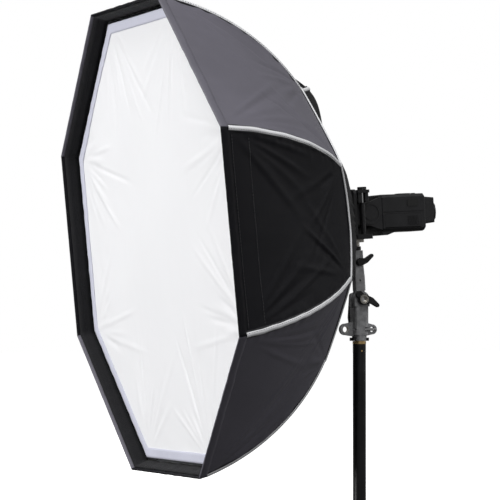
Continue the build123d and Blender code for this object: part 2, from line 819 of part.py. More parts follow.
def bow_point(distance, inset=0.0):
    """Point of the bowed profile at a distance from the axis, moved inwards by inset."""
    r = bow_radius - inset
    return distance, bow_w - (r**2 - (distance - bow_x) ** 2) ** 0.5


rib_inset = 8.5
rib_tip = rim_radius - 21
rod_start = 92.0
for k in range(sides):
    rib_plane = soft_plane(half_angle + k * 360 / sides)
    inner_end = bow_point(rod_start, rib_inset)
    outer_end = bow_point(rib_tip, rib_inset)
    middle = bow_point((rod_start + rib_tip) / 2, rib_inset)
    with BuildPart() as rib:
        with BuildLine(rib_plane) as path:
            ThreePointArc(inner_end, middle, outer_end)
        with BuildSketch(Plane(origin=path.line @ 0, z_dir=path.line % 0)):
            Circle(rib_radius)
        sweep()
        with BuildSketch(rib_plane.offset(-slot_width / 2 + side_gap)):
            with Locations((pivot_ring, pivot_w)):
                Circle(5)
            with BuildLine():
                Polyline(
                    (pivot_ring, pivot_w + 5),
                    (inner_end[0] + 6, inner_end[1] + 5),
                    (inner_end[0] + 6, inner_end[1] + 1),
                    (inner_end[0] - 2, inner_end[1] - 2.5),
                    (pivot_ring, pivot_w - 5),
                    close=True,
                )
            make_face()
            with Locations((pivot_ring, pivot_w)):
                Circle(pin_radius + running_gap, mode=Mode.SUBTRACT)
        extrude(amount=slot_width - 2 * side_gap)
        with BuildSketch(Plane(origin=path.line @ 1, z_dir=path.line % 1).offset(-10)):
            Circle(3.6)
        extrude(amount=10.5)
    save(rib, f"rib_{k + 1}")


# ---------------------------------------------------------------- fabric cover
def cover_panel(angle, outer, front_w, inner):
    """One gore of the cover between two ribs: the bowed profile, run sideways and cut at both ribs."""
    plane = soft_plane(angle)

    def flat(point):
        return point[0] * flat_ratio, point[1]

    middle = (outer + inner) / 2
    with BuildPart() as gore:
        with BuildSketch(plane.offset(-200)):
            with BuildLine():
                skin = ThreePointArc(
                    flat((outer, front_w)), flat(bow_point(middle)), flat(bow_point(inner))
                )
                lining = ThreePointArc(
                    flat((outer - fabric, front_w)),
                    flat(bow_point(middle, fabric)),
                    flat(bow_point(inner, fabric)),
                )
                Line(skin @ 0, lining @ 0)
                Line(skin @ 1, lining @ 1)
            make_face()
        extrude(amount=400)
        with BuildSketch(soft.offset(-2 * ring_depth)):
            with BuildLine():
                far = 2 * rim_radius
                tips = [
                    (far * cos(radians(angle + turn)), far * sin(radians(angle + turn)))
                    for turn in (half_angle, -half_angle)
                ]
                Polyline((0, 0), *tips, close=True)
            make_face()
        extrude(amount=4 * ring_depth, mode=Mode.INTERSECT)
    return gore.part


for name, first in (("black_panels", 0), ("grey_panels", 1)):
    with BuildPart() as panels:
        for k in range(first, sides, 2):
            add(cover_panel(k * 360 / sides, rim_radius, 0, seam_radius))
    save(panels, name)

cap_inner_radius = 94.0
cap_outer = bow_point(seam_radius - 0.2)
with BuildPart() as rear_cap:
    for k in range(sides):
        add(cover_panel(k * 360 / sides, *cap_outer, cap_inner_radius))
save(rear_cap, "rear_cap")

lip_thickness = 2.0
with BuildPart() as front_lip:
    front_edge = rim_radius - fabric - 0.5
    back_edge = front_edge - lip_depth * 0.53
    with BuildSketch(soft):
        RegularPolygon(front_edge, sides, rotation=half_angle)
    with BuildSketch(soft.offset(-lip_depth)):
        RegularPolygon(back_edge, sides, rotation=half_angle)
    loft(ruled=True)
    with BuildSketch(soft):
        RegularPolygon(front_edge - lip_thickness, sides, rotation=half_angle)
    with BuildSketch(soft.offset(-lip_depth)):
        RegularPolygon(back_edge - lip_thickness, sides, rotation=half_angle)
    loft(ruled=True, mode=Mode.SUBTRACT)
save(front_lip, "front_lip")

with BuildPart() as diffuser:
    with BuildSketch(soft.offset(-lip_depth)):
        RegularPolygon(back_edge - lip_thickness - 0.5, sides, rotation=half_angle)
    extrude(amount=fabric)
save(diffuser, "diffuser")
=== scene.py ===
import json
import math
import random

import bmesh
import bpy
import numpy as np
from mathutils import Matrix, Vector

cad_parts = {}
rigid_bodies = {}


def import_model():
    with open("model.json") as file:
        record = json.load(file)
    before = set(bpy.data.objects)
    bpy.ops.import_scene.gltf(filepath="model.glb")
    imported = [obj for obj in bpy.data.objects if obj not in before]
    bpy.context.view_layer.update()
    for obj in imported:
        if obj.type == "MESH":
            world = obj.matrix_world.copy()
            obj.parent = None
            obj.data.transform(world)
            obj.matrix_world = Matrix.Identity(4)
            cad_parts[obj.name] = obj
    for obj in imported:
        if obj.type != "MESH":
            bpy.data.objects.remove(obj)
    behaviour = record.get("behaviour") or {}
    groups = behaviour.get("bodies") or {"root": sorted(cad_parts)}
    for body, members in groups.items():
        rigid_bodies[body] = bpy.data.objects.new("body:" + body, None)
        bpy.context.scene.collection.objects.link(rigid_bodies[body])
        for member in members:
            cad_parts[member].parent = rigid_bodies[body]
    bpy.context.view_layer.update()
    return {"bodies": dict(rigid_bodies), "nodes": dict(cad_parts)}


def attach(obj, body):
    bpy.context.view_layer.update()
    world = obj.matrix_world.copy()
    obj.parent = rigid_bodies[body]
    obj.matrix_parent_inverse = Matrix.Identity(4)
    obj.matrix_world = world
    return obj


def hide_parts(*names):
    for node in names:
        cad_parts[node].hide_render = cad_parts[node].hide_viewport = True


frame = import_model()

NODES = frame["nodes"]

# ------------------------------------------------------------------ sizes, in metres, as in the CAD source
PIVOT_Z = 0.360
HEAD_PITCH = math.radians(3.0)
SOFT_LEAN = math.radians(2.5)
RIM_CENTRE = Vector((0.0, -0.3785, 0.4759))
SIDES = 8
HALF = math.pi / SIDES
RIM_RADIUS = 0.415
RING_DEPTH = 0.334
RING_RADIUS = 0.082
CAP_RADIUS = 0.0845  # the rear cap's elastic sits on the ring at this distance from the axis
SEAM_RADIUS = 0.240
SEAM_SWELL = 0.028  # the rear seam is cut round, so it lies this much further back between ribs
RIB_BOW = 0.066
LIP_DEPTH = 0.026


# ------------------------------------------------------------------ frames and the cover's profile
def tilted(point):
    """A point drawn level, turned nose-down about the tilt pivot as the CAD model is."""
    pivot = Vector((0, 0, PIVOT_Z))
    return pivot + Matrix.Rotation(HEAD_PITCH, 3, "X") @ (Vector(point) - pivot)


TURN = HEAD_PITCH + SOFT_LEAN
SOFT = Matrix(
    (
        (1, 0, 0, 0),
        (0, -math.sin(TURN), -math.cos(TURN), 0),
        (0, math.cos(TURN), -math.sin(TURN), 0),
        (0, 0, 0, 1),
    )
)
SOFT.translation = tilted(RIM_CENTRE)
SOFT_ARRAY = np.array(SOFT)


def to_world(points):
    """Softbox coordinates (across, up, along the light) to the shared frame, for an array of points."""
    return points @ SOFT_ARRAY[:3, :3].T + SOFT_ARRAY[:3, 3]


def to_soft(points):
    """The shared frame to softbox coordinates, for an array of points."""
    return (points - SOFT_ARRAY[:3, 3]) @ SOFT_ARRAY[:3, :3]


def circle_through(a, b, c):
    """Centre and radius of the circle through three points of a plane."""
    d = 2 * (a[0] * (b[1] - c[1]) + b[0] * (c[1] - a[1]) + c[0] * (a[1] - b[1]))
    a2, b2, c2 = (p[0] ** 2 + p[1] ** 2 for p in (a, b, c))
    x = (a2 * (b[1] - c[1]) + b2 * (c[1] - a[1]) + c2 * (a[1] - b[1])) / d
    y = (a2 * (c[0] - b[0]) + b2 * (a[0] - c[0]) + c2 * (b[0] - a[0])) / d
    return x, y, math.hypot(a[0] - x, a[1] - y)


CHORD = math.hypot(RIM_RADIUS - RING_RADIUS, RING_DEPTH)
BOW_MIDDLE = (
    (RIM_RADIUS + RING_RADIUS) / 2 + RIB_BOW * RING_DEPTH / CHORD,
    -RING_DEPTH / 2 - RIB_BOW * (RIM_RADIUS - RING_RADIUS) / CHORD,
)
BOW_X, BOW_W, BOW_R = circle_through((RIM_RADIUS, 0), BOW_MIDDLE, (RING_RADIUS, -RING_DEPTH))


def bow_angle(distance):
    """The bow angle of a rib at a distance from the axis."""
    return -math.acos((distance - BOW_X) / BOW_R)


BOW_RIM = math.atan2(-BOW_W, RIM_RADIUS - BOW_X)
BOW_SEAM = bow_angle(SEAM_RADIUS)
BOW_END = bow_angle(CAP_RADIUS)
GORE_SCALE = 0.955  # cloth lengths are this share of the ribs' bow; as drawn, mid gore is 0.976 of it


def cover_point(mid, t, phi, lift):
    """Points of the cover in softbox coordinates: t runs across a gore from rib to rib, phi along the bow.

    lift raises them off the cloth. At t = 1 and -1 every point lies in the plane of a rib, so gores meet.
    """
    normal_m, normal_w = np.cos(phi), np.sin(phi) * math.cos(HALF)
    size = np.sqrt(normal_m**2 + normal_w**2)
    middle = (BOW_X + BOW_R * np.cos(phi)) * math.cos(HALF) + lift * normal_m / size
    side = t * middle * math.tan(HALF)
    along = BOW_W + BOW_R * np.sin(phi) + lift * normal_w / size
    across = middle * math.cos(mid) - side * math.sin(mid)
    up = middle * math.sin(mid) + side * math.cos(mid)
    return np.stack([across, up, along + 0 * t], axis=-1)


def strip_length(phi):
    """Nominal length of cloth from the rim to phi, as a share of the ribs' bow."""
    return BOW_R * (BOW_RIM - phi) * GORE_SCALE


def seam_length(t):
    """Length of cloth from the rim to the rear seam, across a gore."""
    return strip_length(BOW_SEAM) + SEAM_SWELL * (1 - t * t)


def phi_at(length):
    """The bow angle at a length of cloth from the rim."""
    return BOW_RIM - length / (BOW_R * GORE_SCALE)


# ------------------------------------------------------------------ mesh helpers
def grid_object(name, points, uv=None, wrap=False, flip=False):
    """A smooth mesh of quads from an array of rows of points; wrap joins the last column to the first."""
    rows, columns = points.shape[:2]
    index = np.arange(rows * columns).reshape(rows, columns)
    right = np.roll(index, -1, axis=1) if wrap else index[:, 1:]
    left = index if wrap else index[:, :-1]
    quads = np.stack([left[:-1], right[:-1], right[1:], left[1:]], axis=-1).reshape(-1, 4)
    if flip:
        quads = quads[:, ::-1]
    mesh = bpy.data.meshes.new(name)
    mesh.from_pydata(points.reshape(-1, 3).tolist(), [], quads.tolist())
    if uv is not None:
        layer = mesh.uv_layers.new(name="cloth")
        corners = np.zeros(len(mesh.loops), np.int32)
        mesh.loops.foreach_get("vertex_index", corners)
        layer.data.foreach_set("uv", uv.reshape(-1, 2)[corners].astype(np.float32).ravel())
    mesh.shade_smooth()
    obj = bpy.data.objects.new(name, mesh)
    bpy.context.scene.collection.objects.link(obj)
    return obj


def joined(name, objects):
    """Several new objects as one; weld() closes the places where they meet."""
    with bpy.context.temp_override(
        active_object=objects[0], selected_editable_objects=objects, selected_objects=objects
    ):
        bpy.ops.object.join()
    objects[0].name = name
    objects[0].data.name = name
    return objects[0]


def weld(obj, distance=1e-5):
    """Merges the points that meet."""
    work = bmesh.new()
    work.from_mesh(obj.data)
    bmesh.ops.remove_doubles(work, verts=work.verts, dist=distance)
    work.to_mesh(obj.data)
    work.free()
    obj.data.shade_smooth()


def solidify(obj, thickness, offset=-1.0):
    """Gives a sheet its thickness, on the inner side."""
    shell = obj.modifiers.new("thickness", "SOLIDIFY")
    shell.thickness = thickness
    shell.offset = offset
    return shell


# ------------------------------------------------------------------ the rig that folds the cloth
def fold_rig():
    """One bone for the head and one for each rib; each copies its CAD body, so that cloth can follow both."""
    rig_data = bpy.data.armatures.new("fold_rig")
    rig = bpy.data.objects.new("fold_rig", rig_data)
    bpy.context.scene.collection.objects.link(rig)
    bpy.context.view_layer.objects.active = rig
    bpy.ops.object.mode_set(mode="EDIT")
    names = ["head"] + [f"rib_{k + 1}" for k in range(SIDES)]
    for name in names:
        bone = rig_data.edit_bones.new(name)
        bone.head, bone.tail = (0, 0, 0), (0, 0.1, 0)
    bpy.ops.object.mode_set(mode="OBJECT")
    for name in names:
        copy = rig.pose.bones[name].constraints.new("COPY_TRANSFORMS")
        copy.target = frame["bodies"][name]
    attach(rig, "head")
    return rig


RIG = fold_rig()
WEIGHT_STEPS = 48
STILL_RADIUS, BLEND_WIDTH = 0.080, 0.030  # cloth nearer the axis than this stays with the ring
SECTOR = 360 / SIDES


def follow_ribs(obj, share=None):
    """Lets a piece on the head's body bend with the two ribs that each of its points lies between.

    share, from 0 to 1, says how far a point at a distance from the axis follows the ribs at all.
    """
    mesh = obj.data
    co = np.zeros(len(mesh.vertices) * 3)
    mesh.vertices.foreach_get("co", co)
    local = to_soft(co.reshape(-1, 3))
    radius = np.hypot(local[:, 0], local[:, 1])
    angle = np.degrees(np.arctan2(local[:, 1], local[:, 0])) - SECTOR / 2
    place = (angle / SECTOR) % SIDES
    lower = np.floor(place).astype(int) % SIDES
    between = np.tan(np.radians((place % 1.0 - 0.5) * SECTOR)) / math.tan(HALF) / 2 + 0.5
    ribs = np.clip((radius - STILL_RADIUS) / BLEND_WIDTH, 0, 1) if share is None else share(radius)
    weights = {"head": 1 - ribs}
    for k in range(SIDES):
        weights[f"rib_{k + 1}"] = ribs * (
            (lower == k) * (1 - between) + ((lower + 1) % SIDES == k) * between
        )
    for name, weight in weights.items():
        group = obj.vertex_groups.new(name=name)
        level = np.round(weight * WEIGHT_STEPS).astype(int)
        for step in range(1, WEIGHT_STEPS + 1):
            chosen = np.nonzero(level == step)[0]
            if len(chosen):
                group.add(chosen.tolist(), step / WEIGHT_STEPS, "REPLACE")
    bend = obj.modifiers.new("fold", "ARMATURE")
    bend.object = RIG
    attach(obj, "head")
    return obj


# ------------------------------------------------------------------ material helpers
class Surface:
    """A material with a Principled shader, and short calls to add its textures."""

    def __init__(self, name, colour, roughness, metallic=0.0, **sockets):
        self.material = bpy.data.materials.new(name)
        self.material.use_nodes = True
        self.tree = self.material.node_tree
        self.shader = self.tree.nodes["Principled BSDF"]
        self.shader.inputs["Base Color"].default_value = (*colour, 1)
        self.shader.inputs["Roughness"].default_value = roughness
        self.shader.inputs["Metallic"].default_value = metallic
        for key, value in sockets.items():
            socket = key.replace("_", " ").title().replace("Ior", "IOR")
            self.shader.inputs[socket].default_value = value
        self.coordinates = self.tree.nodes.new("ShaderNodeTexCoord").outputs["Object"]
        self.bump = None

    def node(self, kind, **values):
        made = self.tree.nodes.new(kind)
        for key, value in values.items():
            socket = made.inputs.get(key.replace("_", " ").title())
            if socket is not None:
                socket.default_value = value
            else:
                setattr(made, key, value)
        return made

    def link(self, out, into):
        self.tree.links.new(out, into)

    def use_uv(self):
        self.coordinates = self.tree.nodes["Texture Coordinate"].outputs["UV"]
        return self

    def scaled(self, factors):
        mapping = self.node("ShaderNodeMapping")
        mapping.inputs["Scale"].default_value = factors
        self.link(self.coordinates, mapping.inputs["Vector"])
        return mapping.outputs["Vector"]

    def noise(self, scale, detail=3.0, stretch=(1, 1, 1), roughness=0.5):
        made = self.node("ShaderNodeTexNoise", scale=scale, detail=detail, roughness=roughness)
        self.link(self.scaled(stretch), made.inputs["Vector"])
        return made.outputs["Fac"]

    def wave(self, scale, direction, distortion=0.0):
        made = self.node("ShaderNodeTexWave", scale=scale, distortion=distortion)
        made.bands_direction = direction
        made.wave_type = "BANDS"
        self.link(self.coordinates, made.inputs["Vector"])
        return made.outputs["Fac"]

    def cells(self, scale):
        made = self.node("ShaderNodeTexVoronoi", scale=scale)
        self.link(self.coordinates, made.inputs["Vector"])
        return made.outputs["Distance"]

    def maths(self, operation, a, b):
        made = self.node("ShaderNodeMath", operation=operation)
        for socket, value in zip(made.inputs, (a, b)):
            if isinstance(value, (int, float)):
                socket.default_value = value
            else:
                self.link(value, socket)
        return made.outputs["Value"]

    def ramp(self, factor, low, high, dark, light):
        """Colours from dark at low to light at high."""
        made = self.node("ShaderNodeValToRGB")
        made.color_ramp.elements[0].position = low
        made.color_ramp.elements[1].position = high
        made.color_ramp.elements[0].color = (*dark, 1)
        made.color_ramp.elements[1].color = (*light, 1)
        self.link(factor, made.inputs["Fac"])
        return made.outputs["Color"]

    def colour(self, out):
        self.link(out, self.shader.inputs["Base Color"])
        return self

    def roughness(self, factor, low, high):
        spread = self.node("ShaderNodeMapRange")
        spread.inputs["To Min"].default_value = low
        spread.inputs["To Max"].default_value = high
        self.link(factor, spread.inputs["Value"])
        self.link(spread.outputs["Result"], self.shader.inputs["Roughness"])
        return self

    def relief(self, height, distance, strength=1.0):
        """Adds bump of a real height in metres."""
        made = self.node("ShaderNodeBump", strength=strength, distance=distance)
        self.link(height, made.inputs["Height"])
        if self.bump is not None:
            self.link(self.bump, made.inputs["Normal"])
        self.bump = made.outputs["Normal"]
        self.link(self.bump, self.shader.inputs["Normal"])
        return self


def shade(colour, factor):
    return tuple(min(1.0, c * factor) for c in colour)


def paint(obj, *surfaces):
    obj.data.materials.clear()
    for surface in surfaces:
        obj.data.materials.append(surface.material)
    return obj


# ------------------------------------------------------------------ materials
WAVES = math.tau / 20  # Blender's wave texture turns 20 radians per unit at scale 1


def cloth(name, colour, roughness, sheen, thread=0.0006, mottle=0.10, gloss=0.5):
    """Coated plain-weave nylon, drawn in the cloth's own coordinates."""
    made = Surface(
        name, colour, roughness, sheen_weight=sheen, sheen_roughness=0.35, specular_ior_level=gloss
    ).use_uv()
    warp = made.wave(WAVES / thread, "X")
    weft = made.wave(WAVES / thread, "Y")
    weave = made.maths("MULTIPLY", warp, weft)
    cloudy = made.noise(9.0, 4.0)
    streaks = made.noise(60.0, 2.0, stretch=(1, 0.12, 1))
    tone = made.maths("ADD", made.maths("MULTIPLY", cloudy, 0.7), made.maths("MULTIPLY", streaks, 0.3))
    made.colour(made.ramp(tone, 0.3, 0.7, shade(colour, 1 - mottle), shade(colour, 1 + mottle)))
    made.roughness(streaks, roughness - 0.06, roughness + 0.06)
    made.relief(weave, 0.00008, 0.5)
    made.relief(made.noise(220.0, 3.0), 0.00025, 0.35)
    return made


def velcro(name, colour):
    """The looped face of hook-and-loop tape."""
    made = Surface(name, colour, 0.95, sheen_weight=0.03, sheen_roughness=0.5).use_uv()
    loops = made.cells(700.0)
    made.colour(made.ramp(loops, 0.0, 0.8, shade(colour, 1.7), shade(colour, 0.5)))
    made.relief(loops, 0.0006, 0.9)
    return made


def moulded(name, colour, roughness, grain=0.00006, scale=1800.0):
    """Plastic with a spark-eroded grain and a little shine on handled spots."""
    made = Surface(name, colour, roughness)
    fine = made.noise(scale, 2.0)
    handled = made.noise(35.0, 3.0)
    made.colour(made.ramp(handled, 0.35, 0.7, shade(colour, 0.85), shade(colour, 1.25)))
    made.roughness(handled, roughness - 0.08, roughness + 0.1)
    made.relief(fine, grain, 0.8)
    return made


def metal(name, colour, roughness, brushed=None, metallic=1.0):
    """Plated or turned metal; brushed gives the stretch of its fine lines."""
    made = Surface(name, colour, roughness, metallic=metallic)
    lines = made.noise(900.0, 3.0, stretch=brushed or (1, 1, 1))
    stain = made.noise(40.0, 4.0)
    made.colour(made.ramp(stain, 0.3, 0.75, shade(colour, 0.82), shade(colour, 1.08)))
    made.roughness(lines, max(0.04, roughness - 0.07), roughness + 0.1)
    made.relief(lines, 0.00002, 0.5)
    return made


def cast(name, colour):
    """Lacquered casting with a faint orange-peel skin and scuffed high spots."""
    made = Surface(name, colour, 0.42, metallic=0.55, coat_weight=0.25, coat_roughness=0.3)
    peel = made.noise(420.0, 3.0)
    scuff = made.noise(110.0, 5.0, roughness=0.7)
    made.colour(made.ramp(scuff, 0.38, 0.8, shade(colour, 0.85), shade(colour, 1.6)))
    made.roughness(scuff, 0.34, 0.55)
    made.relief(peel, 0.00012, 0.6)
    return made


BLACK_CLOTH = cloth("black_cloth", (0.0028, 0.0027, 0.0052), 0.62, 0.0, gloss=0.22)
GREY_CLOTH = cloth("grey_cloth", (0.130, 0.124, 0.152), 0.55, 0.05)
CAP_CLOTH = cloth("cap_cloth", (0.0045, 0.0045, 0.006), 0.7, 0.008)
HEM_CLOTH = cloth("hem_cloth", (0.009, 0.009, 0.012), 0.5, 0.02, thread=0.0009)
SILVER_LINING = cloth("silver_lining", (0.62, 0.63, 0.65), 0.35, 0.0)
SILVER_LINING.shader.inputs["Metallic"].default_value = 0.8
LIP_LOOPS = velcro("lip_loops", (0.0040, 0.0040, 0.0058))
WHITE_CLOTH = cloth("white_cloth", (0.93, 0.932, 0.95), 0.75, 0.2, mottle=0.008)
BORDER_CLOTH = cloth("border_cloth", (0.66, 0.67, 0.78), 0.6, 0.2, thread=0.0010, mottle=0.03)
PIPING = cloth("piping", (0.93, 0.935, 0.96), 0.42, 0.5, thread=0.0008, mottle=0.05)
THREAD = Surface("thread", (0.06, 0.06, 0.065), 0.7, sheen_weight=0.4)
THREAD.relief(THREAD.noise(4000.0, 1.0), 0.0001, 0.7)


# ------------------------------------------------------------------ wrinkles
def smooth(x):
    """A soft step from 0 to 1."""
    x = np.clip(x, 0, 1)
    return x * x * (3 - 2 * x)


def fold(across, along, start, end, height, width):
    """One soft crease between two places in a cloth's flat coordinates, widening towards its end."""
    start, end = np.array(start), np.array(end)
    run = end - start
    length = float(np.hypot(*run))
    ahead = ((across - start[0]) * run[0] + (along - start[1]) * run[1]) / length**2
    aside = ((across - start[0]) * -run[1] + (along - start[1]) * run[0]) / length
    ends = smooth(ahead / 0.3) * smooth((1 - ahead) / 0.45)
    spread = width * (0.55 + 0.75 * np.clip(ahead, 0, 1))
    x = aside / spread
    return height * ends * (1 - 0.8 * x * x) * np.exp(-x * x)


def fan(across, along, corner, target, half_angle, count, reach, height, width, seed):
    """A fan of creases from a corner, where the cloth is pulled tight."""
    rng = random.Random(seed)
    heading = math.atan2(target[1] - corner[1], target[0] - corner[0])
    total = np.zeros_like(across)
    for n in range(count):
        turn = heading + half_angle * (2 * (n + rng.uniform(0.2, 0.8)) / count - 1)
        near, far = rng.uniform(0.01, 0.05), rng.uniform(*reach)
        start = (corner[0] + near * math.cos(turn), corner[1] + near * math.sin(turn))
        bend = turn + rng.uniform(-0.06, 0.06)
        end = (corner[0] + far * math.cos(bend), corner[1] + far * math.sin(bend))
        size = height * rng.uniform(0.5, 1.2) * rng.choice((1, 1, -1))
        total += fold(across, along, start, end, size, width * rng.uniform(0.7, 1.3))
    return total


def ripple(along, spacing, seed):
    """Uneven waves along a seam, from -1 to 1."""
    rng = random.Random(seed)
    total = np.zeros_like(along)
    for n in range(5):
        length = spacing * rng.uniform(0.6, 2.2)
        total += np.sin(along * math.tau / length + rng.uniform(0, math.tau)) / 5
    return total * 1.6


def undulation(across, along, size, seed):
    """Slow uneven swells of a slack sheet, from about -1 to 1."""
    rng = random.Random(seed)
    total = np.zeros_like(across)
    for n in range(7):
        turn = rng.uniform(0, math.pi)
        wave = math.tau / (size * rng.uniform(0.7, 1.8))
        phase = rng.uniform(0, math.tau)
        total += np.sin((across * math.cos(turn) + along * math.sin(turn)) * wave + phase) / 4
    return total


# ------------------------------------------------------------------ the cover's gores
GORE_ROWS, GORE_COLUMNS = 112, 88
BILLOW = 0.006
CLOTH_THICKNESS = 0.0007
PIPING_HALF = 0.0032
RIB_BINDING_HALF = 0.0044
TOP_GORE = 2
SLACK_HEIGHT, SLACK_LENGTH, SLACK_WIDTH = 0.017, 0.335, 0.055  # of the top gore's swell at the rear seam
LOOSE_HEIGHT = 0.006  # how far all of the top gore stands up


def top_slack(j, t, length):
    """How far the slack cloth of the top gore stands up, most of all about the rear seam."""
    if j != TOP_GORE:
        return 0 * (t + length)
    swell = SLACK_HEIGHT * np.exp(-(((length - SLACK_LENGTH) / SLACK_WIDTH) ** 2))
    loose = LOOSE_HEIGHT * smooth(length / 0.04) * smooth((0.43 - length) / 0.1)
    return (swell + loose) * smooth((1 - np.abs(t)) / 0.35)


def gore_lift(j, t, phi):
    """How far the cloth of gore j stands off its flat shape: drawn in by tension, creased at its corners."""
    length = strip_length(phi)
    total = seam_length(t)
    half_width = (BOW_X + BOW_R * np.cos(phi)) * math.sin(HALF)
    across = t * half_width
    edge = (1 - t * t)
    ends = smooth(length / 0.03) * smooth((total - length) / 0.03)
    lift = -BILLOW * edge * np.sin(math.pi * np.clip(length / total, 0, 1)) ** 0.8
    rim_half = RIM_RADIUS * math.sin(HALF)
    seam_half = SEAM_RADIUS * math.sin(HALF)
    creases = np.zeros_like(across)
    for n, side in enumerate((-1, 1)):
        rim_corner = (side * rim_half, 0.0)
        seam_corner = (side * seam_half, strip_length(BOW_SEAM))
        seed = 100 * j + 10 * n
        creases += fan(across, length, rim_corner, (0.0, 0.30), 0.34, 6, (0.14, 0.36), 0.0014, 0.0070, seed)
        creases += fan(
            across, length, seam_corner, (-side * 0.02, 0.12), 0.40, 4, (0.09, 0.24), 0.0016, 0.0075, seed + 1
        )
        distance = half_width * (1 - side * t)
        creases += 0.0009 * ripple(length, 0.028, seed + 2) * np.exp(-(((distance - 0.006) / 0.010) ** 2))
    lift = lift + creases * smooth((1 - np.abs(t)) / 0.06) * ends
    lift += 0.0012 * undulation(across, length, 0.16, 7 + j) * edge * ends
    return lift + top_slack(j, t, length)


GORE_NAMES = ("near", "near_top", "top", "far_top", "far", "far_bottom", "bottom", "near_bottom")


def gore(j):
    """One panel of the cover between two ribs, from the rim to the rear seam."""
    t = np.linspace(-1, 1, GORE_COLUMNS)[None, :] * np.ones((GORE_ROWS, 1))
    phi = phi_at(np.linspace(0, 1, GORE_ROWS)[:, None] * seam_length(t))
    mid = j * 2 * HALF
    points = to_world(cover_point(mid, t, phi, gore_lift(j, t, phi)))
    half_width = (BOW_X + BOW_R * np.cos(phi)) * math.sin(HALF)
    uv = np.stack([t * half_width, strip_length(phi)], axis=-1)
    piece = grid_object(f"gore_{GORE_NAMES[j]}", points, uv, flip=True)
    paint(piece, GREY_CLOTH if j % 2 else BLACK_CLOTH, SILVER_LINING)
    follow_ribs(piece)
    shell = solidify(piece, CLOTH_THICKNESS)
    shell.material_offset = 1
    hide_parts("grey_panels" if j % 2 else "black_panels")
    return piece


for _j in range(SIDES):
    gore(_j)


# ------------------------------------------------------------------ strips sewn along the cover
def along_rib(k, lengths, section, wiggle=0.0, seed=0):
    """Rows of points for a strip over rib k: section is a list of (sideways, lift) across the strip."""
    angle = HALF + k * 2 * HALF
    phi = phi_at(lengths)
    distance = BOW_X + BOW_R * np.cos(phi)
    along = BOW_W + BOW_R * np.sin(phi)
    sway = wiggle * ripple(lengths, 0.05, seed)
    rows = []
    for side, lift in section:
        # the cloth falls away on both sides of a rib, by the half angle between gores
        drop = abs(side) * math.tan(HALF)
        out = lift - drop
        r = distance + out * np.cos(phi)
        w = along + out * np.sin(phi)
        s = side + sway
        across = r * math.cos(angle) - s * math.sin(angle)
        up = r * math.sin(angle) + s * math.cos(angle)
        rows.append(np.stack([across, up, w], axis=-1))
    return np.stack(rows, axis=1)


def bead(half_width, height, points=10, base=0.0):
    """The section of a flattened bead, as (sideways, lift) pairs round its edge."""
    return [
        (half_width * math.cos(a), base + height * math.sin(a))
        for a in (math.tau * n / points for n in range(points))
    ]


def strip_uv(rows, columns, length, width):
    """Flat coordinates of a strip, in metres."""
    v = np.linspace(0, length, rows)[:, None]
    u = np.linspace(0, width, columns)[None, :]
    return np.stack([u + 0 * v, v + 0 * u], axis=-1)


HEM = 0.012
COVER_LENGTH = strip_length(BOW_SEAM)


def declare_strip(piece, surface):
    """A sewn strip, painted and made to bend with the ribs. One narrower than MIN_STRIP is declared at
    that width, with its own area beside it.
    """
    paint(piece, surface)
    follow_ribs(piece)
    return piece


def rib_strips():
    """Over each rib: the dark seam allowance, and the pale folded binding on it."""
    lengths = np.linspace(0.006, COVER_LENGTH, 120)
    binding, allowance = [], []
    for k in range(SIDES):
        section = [(s, CLOTH_THICKNESS * 0.4 + lift) for s, lift in bead(0.0066, 0.0009, 12)]
        rows = to_world(along_rib(k, lengths, section))
        uv = strip_uv(120, 12, lengths[-1], 0.024)
        allowance.append(grid_object(f"allowance_{k}", rows, uv, wrap=True))
        section = bead(RIB_BINDING_HALF, 0.0014, 14, base=0.0012)
        rows = to_world(along_rib(k, lengths[2:], section, 0.0005, seed=k))
        uv = strip_uv(118, 14, lengths[-1], 0.018)
        binding.append(grid_object(f"binding_{k}", rows, uv, wrap=True))
    declare_strip(joined("seam_allowance", allowance), HEM_CLOTH)
    declare_strip(joined("rib_binding", binding), PIPING)


rib_strips()


STITCH_RINGS = ((0.0, 0.35), (0.2, 1.0), (0.8, 1.0), (1.0, 0.35))  # place along a stitch, share of its radius
STITCH_SIDES = 6


def stitch_row(name, points, normals, pitch, length, radius):
    """A row of small stitches along a line of softbox points, as one object."""
    gaps = np.linalg.norm(np.diff(points, axis=0), axis=1)
    run = np.concatenate([[0], np.cumsum(gaps)])

    def at(distance, values):
        return np.array([np.interp(distance, run, values[:, axis]) for axis in range(3)])

    verts, faces = [], []
    for start in np.arange(0, run[-1] - length, pitch):
        begin, end = at(start, points), at(start + length, points)
        lift = at(start, normals)
        side = np.cross((end - begin) / np.linalg.norm(end - begin), lift)
        first = len(verts)
        for n, (place, size) in enumerate(STITCH_RINGS):
            middle = begin + (end - begin) * place
            for a in range(STITCH_SIDES):
                turn = math.tau * a / STITCH_SIDES
                out = math.cos(turn) * side + (math.sin(turn) + 0.5) * lift
                verts.append(middle + radius * size * out)
            if n:
                ring = first + STITCH_SIDES * n
                behind = ring - STITCH_SIDES
                for a in range(STITCH_SIDES):
                    b = (a + 1) % STITCH_SIDES
                    faces.append((behind + a, behind + b, ring + b, ring + a))
        last = first + STITCH_SIDES * (len(STITCH_RINGS) - 1)
        faces.append(tuple(first + a for a in reversed(range(STITCH_SIDES))))
        faces.append(tuple(last + a for a in range(STITCH_SIDES)))
    mesh = bpy.data.meshes.new(name)
    mesh.from_pydata(to_world(np.array(verts)).tolist(), [], faces)
    mesh.shade_smooth()
    piece = bpy.data.objects.new(name, mesh)
    bpy.context.scene.collection.objects.link(piece)
    return paint(piece, THREAD)


